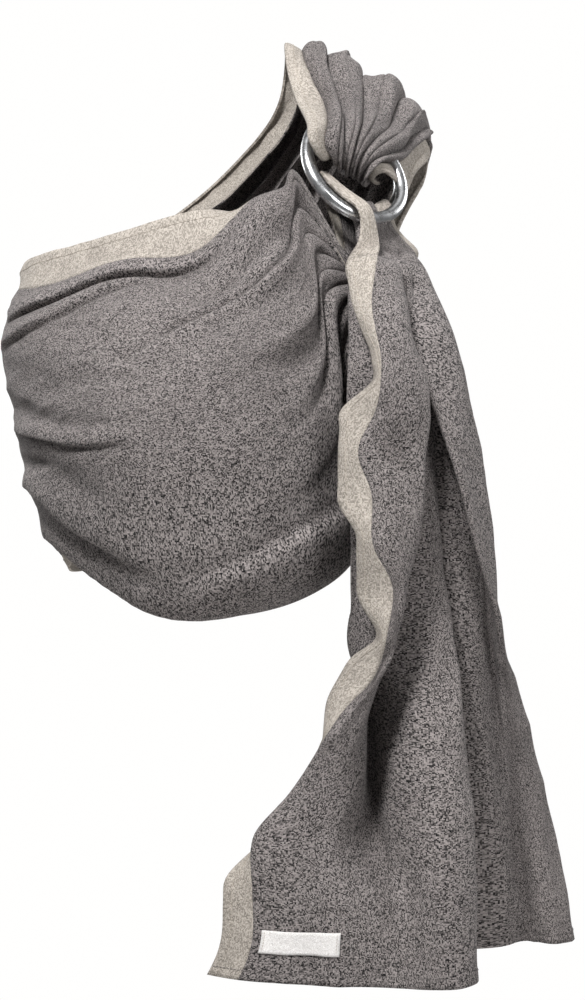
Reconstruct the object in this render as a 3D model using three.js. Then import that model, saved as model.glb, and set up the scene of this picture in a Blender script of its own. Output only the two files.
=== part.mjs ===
// Ring sling baby carrier, worn: one long woven cloth with a border down each side, pleated over
// the wearer's left shoulder and sewn round two plain metal rings, then carried down across the
// back, round the opposite hip and up over the front as a pouch. The free end goes up through both
// rings, over the upper one and down behind the lower one, and hangs as the tail.
//
// Millimetres. +X is the wearer's left, +Y behind the wearer, +Z up. The origin is the crest of
// the wearer's shoulder, under the middle of the pleats.
import * as THREE from "three";

// ---- Driving dimensions ----------------------------------------------------------------------
const CLOTH_WIDTH = 480; // woven width, edge to edge
const CLOTH_THICKNESS = 3; // a soft folded layer, not one bare ply
const BORDER_WIDTH = 30; // pale woven band along each long edge
const HEM_DEPTH = 14; // turned hem across the free end
const SEAM_GAP = 1; // clear space between neighbouring solids
const RING_BORE = 76.2;
const RING_WIRE = 9.6;
const RING_RADIUS = (RING_BORE + RING_WIRE) / 2; // to the middle of the wire
const WIRE_RADIUS = RING_WIRE / 2;
const BUNDLE_WIDTH = 54; // all of the cloth gathered into the ring pocket
const TURN_WIDTH = 48; // all of it drawn together where it passes through the rings
const BUNDLE_THICKNESS = 5.2;
const POCKET_THICKNESS = 7;
const POCKET_RIDGE = 0.8; // height of the soft ridges on the pocket
const PLEAT_COUNT = 6;
const PLEAT_HEIGHT = { pocket: 11, crest: 22, back: 8 };
const LABEL_THICKNESS = 1;
const THREAD_RADIUS = 0.6;

// ---- Ring plane ------------------------------------------------------------------------------
// The rings lie on the slope of the upper chest: `across` is level, `down` is the steepest way
// down the plane, and `out` points away from the chest.
const RING_CENTRE = new THREE.Vector3(-7, -125, -87);
const OUT = new THREE.Vector3(0.5, -0.74, 0.45).normalize();
const ACROSS = new THREE.Vector3(0, 0, 1).cross(OUT).normalize();
const DOWN = new THREE.Vector3().crossVectors(ACROSS, OUT).normalize();
// The upper ring lies behind the lower one and further up towards the shoulder. Its lower arc
// leans back, away from the lower ring, by a little over its upper arc.
const UPPER_RING = { across: 14, down: -16, out: -14.5, lean: THREE.MathUtils.degToRad(4) };
// The pocket pulls towards the top of the shoulder, turned from straight up the ring plane.
const PULL_TURN = THREE.MathUtils.degToRad(30);
const PULL_ACROSS = ACROSS.clone().applyAxisAngle(OUT, -PULL_TURN);
const PULL_DOWN = DOWN.clone().applyAxisAngle(OUT, -PULL_TURN);

const v3 = (x, y, z) => new THREE.Vector3(x, y, z);

// The threaded cloth lies a little to the right of the rings' lowest point.
const TURN_CENTRE = 9;

// A point from its place in the ring plane: along `across`, along `down` and along `out`.
function onRing(across, down, out) {
  return RING_CENTRE.clone()
    .addScaledVector(ACROSS, across)
    .addScaledVector(DOWN, down)
    .addScaledVector(OUT, out);
}

// The same for the pocket, whose own two directions lie turned in the ring plane.
function onPull(across, down, out) {
  return RING_CENTRE.clone()
    .addScaledVector(PULL_ACROSS, across)
    .addScaledVector(PULL_DOWN, down)
    .addScaledVector(OUT, out);
}

// Five or more evenly spaced points across the gathered cloth, as one cross-section.
function gathered(place, down, out, count = 5, width = BUNDLE_WIDTH) {
  const middle = place === onRing ? TURN_CENTRE : 0;
  return Array.from({ length: count }, (_, i) =>
    place(middle + (i / (count - 1) - 0.5) * width, down, out).toArray(),
  );
}

// ---- Materials -------------------------------------------------------------------------------
const material = (color, roughness, metalness = 0) =>
  new THREE.MeshStandardMaterial({ color, roughness, metalness });
const charcoal = material(0x6b6567, 0.95);
const linen = material(0xc9c0b4, 0.95);
const metal = material(0xd6d8da, 0.25, 1);
const labelWhite = material(0xe9e6e4, 0.85);
const greyThread = material(0x8d8680, 0.8);

// ---- Surfaces --------------------------------------------------------------------------------
// A Catmull-Rom value between four neighbours.
const spline = (a, b, c, d, f) =>
  0.5 * (2 * b + (c - a) * f + (2 * a - 5 * b + 4 * c - d) * f * f + (3 * b - a - 3 * c + d) * f ** 3);

// The point at `at` (0 to 1) along a list of points, or of lists of points.
function along(points, at) {
  const last = points.length - 1;
  const place = Math.min(Math.max(at, 0), 1) * last;
  const i = Math.min(Math.floor(place), last - 1);
  const pick = (k) => points[Math.min(Math.max(k, 0), last)];
  const before = i > 0 ? pick(i - 1) : null;
  const after = i + 2 <= last ? pick(i + 2) : null;
  return pick(i).map((_, axis) => {
    const b = pick(i)[axis];
    const c = pick(i + 1)[axis];
    const a = before ? before[axis] : 2 * b - c;
    const d = after ? after[axis] : 2 * c - b;
    return spline(a, b, c, d, place - i);
  });
}

// A cloth surface from its cross-sections: surface(s, t) with s along the cloth from the first
// section to the last, and t across it, from the first point of a section to its last.
function surfaceFrom(sections, shareAcross = (t) => t) {
  const columns = sections[0].map((_, j) => sections.map((section) => section[j]));
  return (s, t) => v3(...along(columns.map((column) => along(column, s)), shareAcross(t)));
}

// The unit normal of a surface, by differences.
function normalAt(surface, s, t) {
  const step = 1e-3;
  const ds = surface(Math.min(s + step, 1), t).sub(surface(Math.max(s - step, 0), t));
  const dt = surface(s, Math.min(t + step, 1)).sub(surface(s, Math.max(t - step, 0)));
  return ds.cross(dt).normalize();
}

// A closed body from rings of points, each ring the same length, with flat ends.
function bodyFromRings(rings) {
  const count = rings[0].length;
  const index = [];
  rings.slice(1).forEach((_, k) => {
    for (let i = 0; i < count; i += 1) {
      const a = k * count + i;
      const b = k * count + ((i + 1) % count);
      index.push(a, b, b + count, a, b + count, a + count);
    }
  });
  const points = rings.flat();
  const capped = [
    [0, -1],
    [(rings.length - 1) * count, 1],
  ];
  for (const [first, side] of capped) {
    const centre = points.length;
    const middle = v3(0, 0, 0);
    for (let i = 0; i < count; i += 1) middle.addScaledVector(points[first + i], 1 / count);
    points.push(middle);
    for (let i = 0; i < count; i += 1) {
      const a = first + i;
      const b = first + ((i + 1) % count);
      index.push(...(side > 0 ? [a, b, centre] : [b, a, centre]));
    }
  }
  const geometry = new THREE.BufferGeometry().setFromPoints(points);
  geometry.setIndex(index);
  return facingOut(geometry);
}

// Turns every face round if the body's signed volume says that they point inwards.
function facingOut(geometry) {
  const at = geometry.attributes.position;
  const index = Array.from(geometry.index.array);
  const corner = (i) => v3().fromBufferAttribute(at, i);
  let volume = 0;
  for (let i = 0; i < index.length; i += 3) {
    const [a, b, c] = [corner(index[i]), corner(index[i + 1]), corner(index[i + 2])];
    volume += a.dot(b.cross(c)) / 6;
  }
  if (volume < 0) {
    for (let i = 0; i < index.length; i += 3) {
      [index[i + 1], index[i + 2]] = [index[i + 2], index[i + 1]];
    }
    geometry.setIndex(index);
  }
  geometry.computeVertexNormals();
  return geometry;
}

// One patch of a cloth surface as a closed sheet of even thickness. `rise` moves the sheet off
// the surface along its normal.
function clothSheet(surface, span, cells, thickness = CLOTH_THICKNESS, rise = 0) {
  const [s0, s1, t0, t1] = span;
  const [ns, nt] = cells;
  const rings = [];
  for (let i = 0; i <= ns; i += 1) {
    const s = s0 + ((s1 - s0) * i) / ns;
    const upper = [];
    const lower = [];
    for (let j = 0; j <= nt; j += 1) {
      const t = t0 + ((t1 - t0) * j) / nt;
      const point = surface(s, t);
      const normal = normalAt(surface, s, t);
      upper.push(point.clone().addScaledVector(normal, rise + thickness / 2));
      lower.push(point.clone().addScaledVector(normal, rise - thickness / 2));
    }
    rings.push([...upper, ...lower.reverse()]);
  }
  return sheetFromRings(rings, nt);
}

// As bodyFromRings, but each end is a strip between the sheet's two faces, so that a curved end
// stays the thickness of the cloth.
function sheetFromRings(rings, cellsAcross) {
  const count = rings[0].length;
  const points = rings.flat();
  const index = [];
  rings.slice(1).forEach((_, k) => {
    for (let i = 0; i < count; i += 1) {
      const a = k * count + i;
      const b = k * count + ((i + 1) % count);
      index.push(a, b, b + count, a, b + count, a + count);
    }
  });
  for (const first of [0, (rings.length - 1) * count]) {
    for (let j = 0; j < cellsAcross; j += 1) {
      const a = first + j;
      const b = first + j + 1;
      const c = first + count - 2 - j;
      const d = first + count - 1 - j;
      index.push(...(first ? [a, b, c, a, c, d] : [b, a, c, c, a, d]));
    }
  }
  const geometry = new THREE.BufferGeometry().setFromPoints(points);
  geometry.setIndex(index);
  return facingOut(geometry);
}

// A thin round thread laid along points.
function thread(points, radius = THREAD_RADIUS, sides = 5) {
  const curve = new THREE.CatmullRomCurve3(points, false, "centripetal");
  const section = new THREE.Shape(
    Array.from({ length: sides }, (_, i) => {
      const angle = (2 * Math.PI * i) / sides;
      return new THREE.Vector2(radius * Math.cos(angle), radius * Math.sin(angle));
    }),
  );
  return new THREE.ExtrudeGeometry(section, {
    extrudePath: curve,
    steps: points.length * 2,
    bevelEnabled: false,
  });
}

// ---- The loop: shoulder, back, side and pouch -------------------------------------------------
// Cross-sections from the ring pocket over the shoulder, down the back, round the side and across
// the front to the rings. Each goes from the upper rail (neck side) to the lower rail (arm side).
const SHOULDER = [
  gathered(onPull, -95, -10),
  [[-42, -39, 15], [-21, -37, 12], [4, -33, 1], [29, -29, -19], [46, -25, -45]],
  [[-58, -8, 27], [-31, -7, 25], [2, -4, 12], [36, -2, -12], [58, -4, -50]],
  [[-63, 52, 17], [-37, 60, 9], [-4, 66, -10], [29, 64, -38], [54, 54, -76]],
  [[-86, 86, -16], [-61, 95, -38], [-31, 99, -74], [0, 96, -116], [28, 84, -162]],
];
const BACK = [
  SHOULDER[4],
  [[-130, 100, -62], [-108, 106, -110], [-84, 108, -170], [-60, 107, -232], [-36, 98, -290]],
  [[-186, 88, -103], [-172, 98, -168], [-156, 103, -238], [-138, 102, -308], [-118, 92, -366]],
  [[-238, 54, -132], [-238, 62, -200], [-230, 66, -268], [-217, 64, -336], [-196, 52, -392]],
  [[-274, -6, -148], [-281, -8, -208], [-276, -8, -276], [-262, -10, -342], [-238, -14, -398]],
];
const POUCH = [
  BACK[4],
  [[-255, -72, -141], [-277, -92, -204], [-264, -106, -272], [-250, -106, -342], [-220, -88, -412]],
  [[-212, -100, -130], [-226, -150, -192], [-222, -172, -266], [-208, -166, -348], [-180, -124, -424]],
  [[-166, -118, -118], [-172, -180, -174], [-170, -208, -256], [-160, -204, -348], [-140, -150, -430]],
  [[-122, -128, -114], [-118, -188, -170], [-113, -216, -250], [-104, -210, -345], [-92, -152, -424]],
  [[-86, -134, -109], [-76, -182, -158], [-66, -200, -236], [-54, -192, -322], [-44, -142, -398]],
  [[-64, -138, -103], [-52, -164, -138], [-40, -174, -196], [-28, -166, -262], [-18, -132, -326]],
  [[-50, -142, -103], [-42, -152, -122], [-32, -156, -154], [-22, -150, -192], [-12, -130, -232]],
];
const GATHER = [
  POUCH[6],
  POUCH[7],
  gathered(onRing, 82, -27, 5, TURN_WIDTH),
  gathered(onRing, 66, -28, 5, TURN_WIDTH),
  gathered(onRing, 54, -28, 5, TURN_WIDTH),
];
const shoulderSurface = surfaceFrom(SHOULDER);
const backSurface = surfaceFrom(BACK);
const pouchSurface = surfaceFrom(POUCH.slice(0, 7));
const gatherSurface = surfaceFrom(GATHER);

// ---- The tail ---------------------------------------------------------------------------------
// Level cross-sections of the hanging free end as plan points [x, y], each at its own height,
// from the left edge of the cloth to the right one. Higher up the left edge turns over itself in
// a cascade; at the hem it opens out.
const TAIL_SHARES = [0, 0.09, 0.16, 0.24, 0.33, 0.42, 0.5, 0.58, 0.66, 0.74, 0.82, 0.91, 1];
const TAIL_LEVELS = [
  { z: -186, plan: [[-10, -188], [24, -190], [2, -178], [26, -176], [8, -166], [30, -160], [14, -150],
    [38, -150], [24, -136], [48, -134], [36, -122], [54, -116], [62, -106]] },
  { z: -250, plan: [[-8, -206], [32, -212], [12, -196], [40, -196], [18, -180], [48, -178], [26, -164],
    [60, -164], [38, -148], [74, -148], [54, -130], [74, -116], [86, -100]] },
  { z: -320, plan: [[-16, -214], [34, -220], [14, -204], [50, -202], [24, -186], [60, -182], [34, -168],
    [74, -170], [48, -152], [90, -152], [66, -134], [90, -116], [102, -98]] },
  { z: -410, plan: [[-6, -218], [46, -226], [8, -206], [58, -202], [18, -186], [78, -186], [40, -168],
    [94, -168], [64, -148], [110, -146], [88, -128], [110, -108], [124, -92]] },
  { z: -540, plan: [[-62, -190], [-22, -198], [18, -196], [52, -212], [80, -192], [54, -172], [10, -158],
    [36, -132], [80, -126], [120, -136], [138, -116], [132, -94], [110, -80]] },
  { z: -688, plan: [[-120, -188], [-78, -203], [-26, -206], [28, -224], [74, -207], [48, -172], [-2, -152],
    [22, -114], [72, -99], [118, -113], [160, -100], [170, -72], [136, -50]] },
];
const TAIL = TAIL_LEVELS.map(({ z, plan }) => plan.map(([x, y]) => [x, y, z]));

// Turns a share of the cloth's width into a place in the list of plan points.
function tailShare(t) {
  const last = TAIL_SHARES.length - 1;
  const i = Math.min(TAIL_SHARES.findLastIndex((share) => share <= t), last - 1);
  return (i + (t - TAIL_SHARES[i]) / (TAIL_SHARES[i + 1] - TAIL_SHARES[i])) / last;
}
const tailSurface = surfaceFrom(TAIL, tailShare);

// Which side of the tail's surface is its outer face.
const STITCH_SIDE = 1;

// ---- Pieces -----------------------------------------------------------------------------------
const sling = new THREE.Group();
function add(name, geometry, finish) {
  const mesh = new THREE.Mesh(geometry, finish);
  mesh.name = name;
  sling.add(mesh);
  return mesh;
}

const border = BORDER_WIDTH / CLOTH_WIDTH;
const gap = SEAM_GAP / CLOTH_WIDTH;

// Pleats: rounded ridges side by side from the ring pocket over the shoulder to the upper back.
function addPleats() {
  const stations = 12;
  for (let p = 0; p < PLEAT_COUNT; p += 1) {
    const rings = [];
    for (let i = 0; i <= stations; i += 1) {
      rings.push(pleatOutline(0.01 + (0.985 * i) / stations, p / PLEAT_COUNT, (p + 1) / PLEAT_COUNT));
    }
    const edge = p === 0 || p === PLEAT_COUNT - 1;
    const name = p === 0 ? "shoulder_neck_border" : edge ? "shoulder_arm_border" : `shoulder_pleat_${p}`;
    add(name, bodyFromRings(rings), edge ? linen : charcoal);
  }
}

// One pleat's outline. Its side walls follow the surface normals that it shares with its
// neighbours, and its crest rises between them.
function pleatOutline(s, t0, t1) {
  const rise = THREE.MathUtils.smoothstep(s, 0, 0.45);
  const spread = THREE.MathUtils.smoothstep(s, 0.5, 1);
  const crest = THREE.MathUtils.lerp(PLEAT_HEIGHT.pocket, PLEAT_HEIGHT.crest, rise);
  const height = THREE.MathUtils.lerp(crest, PLEAT_HEIGHT.back, spread);
  const inset = SEAM_GAP / 140;
  const column = (t, low, high) => {
    const up = normalAt(shoulderSurface, s, t).negate();
    const point = shoulderSurface(s, t);
    return [low, high].map((share) => point.clone().addScaledVector(up, share * height));
  };
  const [leftLow, leftHigh] = column(t0 + inset, -0.5, 0.05);
  const [nearLow, nearHigh] = column(t0 + 0.25 * (t1 - t0), -0.46, 0.42);
  const [midLow, midHigh] = column((t0 + t1) / 2, -0.44, 0.55);
  const [farLow, farHigh] = column(t0 + 0.75 * (t1 - t0), -0.46, 0.42);
  const [rightLow, rightHigh] = column(t1 - inset, -0.5, 0.05);
  return [
    leftLow, nearLow, midLow, farLow, rightLow,
    rightHigh, farHigh, midHigh, nearHigh, leftHigh,
  ];
}

// Pocket: the cloth's sewn end, down in front of the rings' upper arcs, under them and back up.
const POCKET_PATH = [
  [-92, -3], [-76, 4], [-60, 10], [-44, 13], [-31, 13], [-20, 9.5], [-14, 0],
  [-14.5, -13], [-22, -23], [-40, -26.5], [-60, -26.5], [-78, -23], [-92, -17],
];
function addPocket() {
  const surface = surfaceFrom(POCKET_PATH.map(([down, out]) => gathered(onPull, down, out)));
  // The gathered cloth lies in soft ridges that run over the fold.
  const ridged = (s, t) => {
    const lift = POCKET_RIDGE * Math.sin(2 * Math.PI * PLEAT_COUNT * t);
    return surface(s, t).addScaledVector(normalAt(surface, s, t), lift);
  };
  add("ring_pocket", clothSheet(ridged, [0, 1, 0, 1], [26, 24], POCKET_THICKNESS), charcoal);
  // Two rows of stitching lie behind the pocket, above the rings, where the cloth's end is sewn up.
  [0.98, 0.945].forEach((s, row) => {
    const points = Array.from({ length: 7 }, (_, i) => {
      const t = (i + 0.25) / 6.5;
      const out = normalAt(surface, s, t);
      if (out.dot(OUT) > 0) out.negate();
      return surface(s, t).addScaledVector(out, POCKET_THICKNESS / 2 + POCKET_RIDGE + THREAD_RADIUS + 0.4);
    });
    add(`pocket_stitch_row_${row + 1}`, thread(points), greyThread);
  });
}

// Rings: plain round wire, closed and smooth.
function addRing(name, centre, axis) {
  const ring = add(name, new THREE.TorusGeometry(RING_RADIUS, WIRE_RADIUS, 16, 56), metal);
  ring.position.copy(centre);
  ring.quaternion.setFromUnitVectors(v3(0, 0, 1), axis);
}

// Threaded cloth: up behind both rings, over the upper one and down behind the lower one. Each
// strand of it follows the two wires where it meets them.
function addThreadedCloth() {
  const off = WIRE_RADIUS + 2 + BUNDLE_THICKNESS / 2;
  const strand = (across) => {
    const beside = across - UPPER_RING.across;
    const upper = {
      down: UPPER_RING.down + Math.sqrt(RING_RADIUS ** 2 - beside ** 2),
      out: UPPER_RING.out - Math.tan(UPPER_RING.lean) * Math.sqrt(RING_RADIUS ** 2 - beside ** 2),
    };
    const lowerDown = Math.sqrt(RING_RADIUS ** 2 - across ** 2);
    const slant = RING_RADIUS / Math.sqrt(RING_RADIUS ** 2 - beside ** 2);
    const round = [-90, -45, 0, 45, 90].map((degrees) => {
      const angle = THREE.MathUtils.degToRad(degrees);
      return [upper.down - slant * off * Math.cos(angle), upper.out + off * Math.sin(angle)];
    });
    const path = [
      [upper.down + 18, upper.out - off - 0.5],
      [upper.down + 9, upper.out - off - 0.3],
      ...round,
      [lowerDown * 0.5 + upper.down * 0.5 + 5, (upper.out + off) * 0.5 - off * 0.5],
      [lowerDown + 8, -off - 0.8],
      [56, -off - 2.4],
    ];
    return path.map(([down, out]) => onRing(across, down, out).toArray());
  };
  const strands = Array.from({ length: 9 }, (_, i) => strand(TURN_CENTRE + (i / 8 - 0.5) * TURN_WIDTH));
  const turn = surfaceFrom(strands[0].map((_, k) => strands.map((points) => points[k])));
  add("ring_turn", clothSheet(turn, [0, 1, 0, 1], [30, 8], BUNDLE_THICKNESS), charcoal);
}

function addPouchGather() {
  add("pouch_gather", clothSheet(gatherSurface, [0.01, 0.985, 0, 1], [14, 8], BUNDLE_THICKNESS), charcoal);
}

const back = [0.003, 0.996];
const side = [0.002, 0.24];
const front = [0.2415, 0.997];

function addBack() {
  add("back_top_border", clothSheet(backSurface, [...back, 0, border - gap], [14, 1]), linen);
  add("back_upper_panel", clothSheet(backSurface, [...back, border, 0.5 - gap], [14, 5]), charcoal);
  add("back_lower_panel", clothSheet(backSurface, [...back, 0.5, 1 - border - gap], [14, 5]), charcoal);
  add("back_bottom_border", clothSheet(backSurface, [...back, 1 - border, 1], [14, 1]), linen);
}

function addPouch() {
  add("side_wrap", clothSheet(pouchSurface, [...side, border, 1 - border - gap], [5, 10]), charcoal);
  add("pouch_upper_panel", clothSheet(pouchSurface, [...front, border, 0.36 - gap], [14, 5]), charcoal);
  add("pouch_seat_panel", clothSheet(pouchSurface, [...front, 0.36, 0.68 - gap], [14, 5]), charcoal);
  add("pouch_lower_panel", clothSheet(pouchSurface, [...front, 0.68, 1 - border - gap], [14, 5]), charcoal);
  add("pouch_top_border", clothSheet(pouchSurface, [0.002, 0.997, 0, border - gap], [20, 1]), linen);
  add("pouch_bottom_border", clothSheet(pouchSurface, [0.002, 0.997, 1 - border, 1], [20, 1]), linen);
}

function addTail() {
  const drop = TAIL_LEVELS[0].z - TAIL_LEVELS[TAIL_LEVELS.length - 1].z;
  const hem = HEM_DEPTH / drop / 1.4;
  const rows = [0.002, 1 - hem - 0.001];
  add("tail_left_border", clothSheet(tailSurface, [...rows, 0, border - 2 * gap], [20, 1]), linen);
  add("tail_front_panel", clothSheet(tailSurface, [...rows, border, 0.37 - 2 * gap], [20, 9]), charcoal);
  add("tail_inner_fold", clothSheet(tailSurface, [...rows, 0.37, 0.62 - 9 * gap], [20, 7]), charcoal);
  add("tail_outer_panel", clothSheet(tailSurface, [...rows, 0.62, 1 - border - gap], [20, 9]), charcoal);
  add("tail_right_border", clothSheet(tailSurface, [...rows, 1 - border, 1], [20, 1]), linen);
  add("tail_hem", clothSheet(tailSurface, [1 - hem, 1, 0, 1], [1, 34]), charcoal);
  addTailNeck();
  addHemStitching(1 - 0.75 * hem);
  addLabel(1 - hem);
}

// Neck of the tail: from the flat bundle behind the lower ring to the folds of the hanging cloth.
function addTailNeck() {
  const top = gathered(onRing, 59, -11.8, TAIL_SHARES.length, TURN_WIDTH);
  const bottom = TAIL[0];
  const surface = surfaceFrom([top, bottom], tailShare);
  add("tail_neck", clothSheet(surface, [0, 0.965, 0, 1], [3, 24]), charcoal);
}

function addHemStitching(s) {
  const points = [];
  for (let j = 0; j <= 10; j += 1) {
    const outward = normalAt(tailSurface, s, j / 34).multiplyScalar(STITCH_SIDE);
    const lift = CLOTH_THICKNESS / 2 + THREAD_RADIUS + 0.6;
    points.push(tailSurface(s, j / 34).addScaledVector(outward, lift));
  }
  add("tail_hem_stitching", thread(points, THREAD_RADIUS, 4), greyThread);
}

// Label: a small plain woven tab sewn to the tail, beside the left border and above the hem.
function addLabel(hemTop) {
  const rise = STITCH_SIDE * (CLOTH_THICKNESS / 2 + LABEL_THICKNESS / 2 + 1.1);
  const span = [hemTop - 0.034, hemTop - 0.003, border + 0.006, border + 0.092];
  add("label", clothSheet(tailSurface, span, [2, 4], LABEL_THICKNESS, rise), labelWhite);
}

addPleats();
addPocket();
addRing("lower_ring", RING_CENTRE, OUT);
addRing(
  "upper_ring",
  onRing(UPPER_RING.across, UPPER_RING.down, UPPER_RING.out),
  OUT.clone().applyAxisAngle(ACROSS, UPPER_RING.lean),
);
addThreadedCloth();
addPouchGather();
addBack();
addPouch();
addTail();

export default sling;
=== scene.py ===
import math

import bpy
import numpy as np
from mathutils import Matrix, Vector


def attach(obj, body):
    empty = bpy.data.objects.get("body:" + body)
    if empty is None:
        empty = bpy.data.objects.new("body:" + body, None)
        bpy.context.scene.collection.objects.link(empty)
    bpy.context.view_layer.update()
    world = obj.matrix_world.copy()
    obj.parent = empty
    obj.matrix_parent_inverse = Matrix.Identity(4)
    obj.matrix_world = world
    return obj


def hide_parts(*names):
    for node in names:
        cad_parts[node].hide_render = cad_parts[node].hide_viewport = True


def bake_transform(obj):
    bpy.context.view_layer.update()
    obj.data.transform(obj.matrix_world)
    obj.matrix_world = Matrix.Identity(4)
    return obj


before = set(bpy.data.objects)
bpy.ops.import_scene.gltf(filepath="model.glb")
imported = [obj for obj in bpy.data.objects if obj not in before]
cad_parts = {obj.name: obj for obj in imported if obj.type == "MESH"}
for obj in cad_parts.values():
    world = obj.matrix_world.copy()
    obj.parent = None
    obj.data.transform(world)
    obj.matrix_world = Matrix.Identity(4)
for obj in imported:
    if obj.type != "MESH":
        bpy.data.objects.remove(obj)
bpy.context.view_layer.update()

# ---- Sizes, in millimetres until a mesh is made ----
MM = 0.001
CLOTH_WIDTH = 480.0
BORDER_WIDTH = 30.0
BORDER = BORDER_WIDTH / CLOTH_WIDTH  # a border's share of the width
CLOTH_THICKNESS = 1.1
HEM_WIDTH = 7.5
RING_RADIUS = 42.9  # to the middle of the wire
WIRE_RADIUS = 4.8
BUNDLE = 5.2  # the thickness of the gathered cloth that turns over the upper ring
WIRE_GAP = 1.2  # from the wire to that cloth
TURN_CENTRE = 9.0  # the middle of that cloth, across the lower ring
TURN_WIDTH = 48.0
POCKET_WIDTH = 54.0

# ---- Ring planes, as in the CAD ----
RING_CENTRE = np.array([-7.0, -125.0, -87.0])
OUT = np.array([0.5, -0.74, 0.45])
OUT /= np.linalg.norm(OUT)
ACROSS = np.cross([0, 0, 1], OUT)
ACROSS /= np.linalg.norm(ACROSS)
DOWN = np.cross(ACROSS, OUT)


def turned(v, axis, angle):
    """v turned about a unit axis."""
    c, s = math.cos(angle), math.sin(angle)
    return v * c + np.cross(axis, v) * s + axis * (axis @ v) * (1 - c)


PULL_TURN = math.radians(30)
PULL_ACROSS = turned(ACROSS, OUT, -PULL_TURN)
PULL_DOWN = turned(DOWN, OUT, -PULL_TURN)
UPPER = {"across": 14.0, "down": -16.0, "out": -14.5, "lean": math.radians(4)}
UPPER_AXIS = turned(OUT, ACROSS, UPPER["lean"])


def on_ring(across, down, out):
    """A point by its place in the lower ring's plane and its distance out from it."""
    return RING_CENTRE + ACROSS * across + DOWN * down + OUT * out


def on_pull(across, down, out):
    """The same, with `down` leaning the way that the shoulder pulls."""
    return RING_CENTRE + PULL_ACROSS * across + PULL_DOWN * down + OUT * out


UPPER_CENTRE = on_ring(UPPER["across"], UPPER["down"], UPPER["out"])

# ---- Curves and noise ----


def natural(knots, values, at):
    """A natural cubic spline through values at knots, read at `at`."""
    knots, values, at = (np.asarray(x, float) for x in (knots, values, at))
    n = len(knots)
    flat = values.reshape(n, -1)
    h = np.diff(knots)
    a, b = np.eye(n), np.zeros_like(flat)
    for i in range(1, n - 1):
        a[i, i - 1 : i + 2] = h[i - 1], 2 * (h[i - 1] + h[i]), h[i]
        b[i] = 6 * ((flat[i + 1] - flat[i]) / h[i] - (flat[i] - flat[i - 1]) / h[i - 1])
    m = np.linalg.solve(a, b)
    i = np.clip(np.searchsorted(knots, at) - 1, 0, n - 2)
    d, e, w = (at - knots[i])[:, None], (knots[i + 1] - at)[:, None], h[i][:, None]
    cubic = (m[i] * e**3 + m[i + 1] * d**3) / (6 * w)
    cubic += (flat[i] / w - m[i] * w / 6) * e + (flat[i + 1] / w - m[i + 1] * w / 6) * d
    return cubic.reshape((len(at),) + values.shape[1:])


def steady(knots, values, at):
    """A cubic through values at knots that never swings past them."""
    knots, values, at = (np.asarray(x, float) for x in (knots, values, at))
    h = np.diff(knots)[:, None]
    slope = np.diff(values, axis=0) / h
    m = np.zeros_like(values)
    m[0], m[-1] = slope[0], slope[-1]
    same = slope[:-1] * slope[1:] > 0
    w1, w2 = 2 * h[1:] + h[:-1], h[1:] + 2 * h[:-1]
    before, after = np.where(same, slope[:-1], 1), np.where(same, slope[1:], 1)
    m[1:-1] = np.where(same, (w1 + w2) / (w1 / before + w2 / after), 0)
    i = np.clip(np.searchsorted(knots, at) - 1, 0, len(knots) - 2)
    w = h[i]
    t = ((at - knots[i]) / w[:, 0])[:, None]
    starts = (2 * t**3 - 3 * t**2 + 1) * values[i] + (t**3 - 2 * t**2 + t) * w * m[i]
    return starts + (3 * t**2 - 2 * t**3) * values[i + 1] + (t**3 - t**2) * w * m[i + 1]


def smooth(a, b, x):
    """0 at a, 1 at b, with a soft start and end."""
    t = np.clip((np.asarray(x, float) - a) / (b - a), 0, 1)
    return t * t * (3 - 2 * t)


def blur(values, sigma, axis=0):
    """A Gaussian blur along one axis that keeps the ends where they are."""
    reach = int(3 * sigma)
    kernel = np.exp(-0.5 * (np.arange(-reach, reach + 1) / sigma) ** 2)
    kernel /= kernel.sum()
    v = np.moveaxis(values, axis, 0)
    head = 2 * v[:1] - v[1 : reach + 1][::-1]
    foot = 2 * v[-1:] - v[-reach - 1 : -1][::-1]
    padded = np.concatenate([head, v, foot])
    made = sum(k * padded[i : i + len(v)] for i, k in enumerate(kernel))
    return np.moveaxis(made, 0, axis)


def noise(x, y, seed):
    """Smooth value noise from -1 to 1 at points (x, y)."""
    table = np.random.default_rng(seed).uniform(-1, 1, (64, 64))
    x, y = np.broadcast_arrays(np.asarray(x, float), np.asarray(y, float))
    xi, yi = np.floor(x).astype(int), np.floor(y).astype(int)
    fx, fy = smooth(0, 1, x - xi), smooth(0, 1, y - yi)

    def at(i, j):
        return table[(xi + i) % 64, (yi + j) % 64]

    low = at(0, 0) * (1 - fx) + at(1, 0) * fx
    high = at(0, 1) * (1 - fx) + at(1, 1) * fx
    return low * (1 - fy) + high * fy


def normals_of(grid):
    """Unit normals of a grid of points, on the loop's outer face."""
    n = np.cross(np.gradient(grid, axis=1), np.gradient(grid, axis=0))
    return n / np.maximum(np.linalg.norm(n, axis=2, keepdims=True), 1e-9)


def lengths(points):
    """The running length along a list of points."""
    return np.concatenate([[0], np.cumsum(np.linalg.norm(np.diff(points, axis=0), axis=-1))])


def read(at, run, points):
    """The points on a line at distances `at`, by the running length of its points."""
    return np.stack([np.interp(at, run, points[:, c]) for c in range(3)], -1)


# ---- The loop's path ----
# Cross-sections from the sewn end inside the ring pocket, round the rings, over the shoulder,
# down the back, round the side and across the front. Each goes from the neck side to the arm side.


def gathered(place, down, out, width, middle=0.0):
    """A straight cross-section of gathered cloth."""
    return [place(middle + (i / 4 - 0.5) * width, down, out) for i in range(5)]


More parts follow.
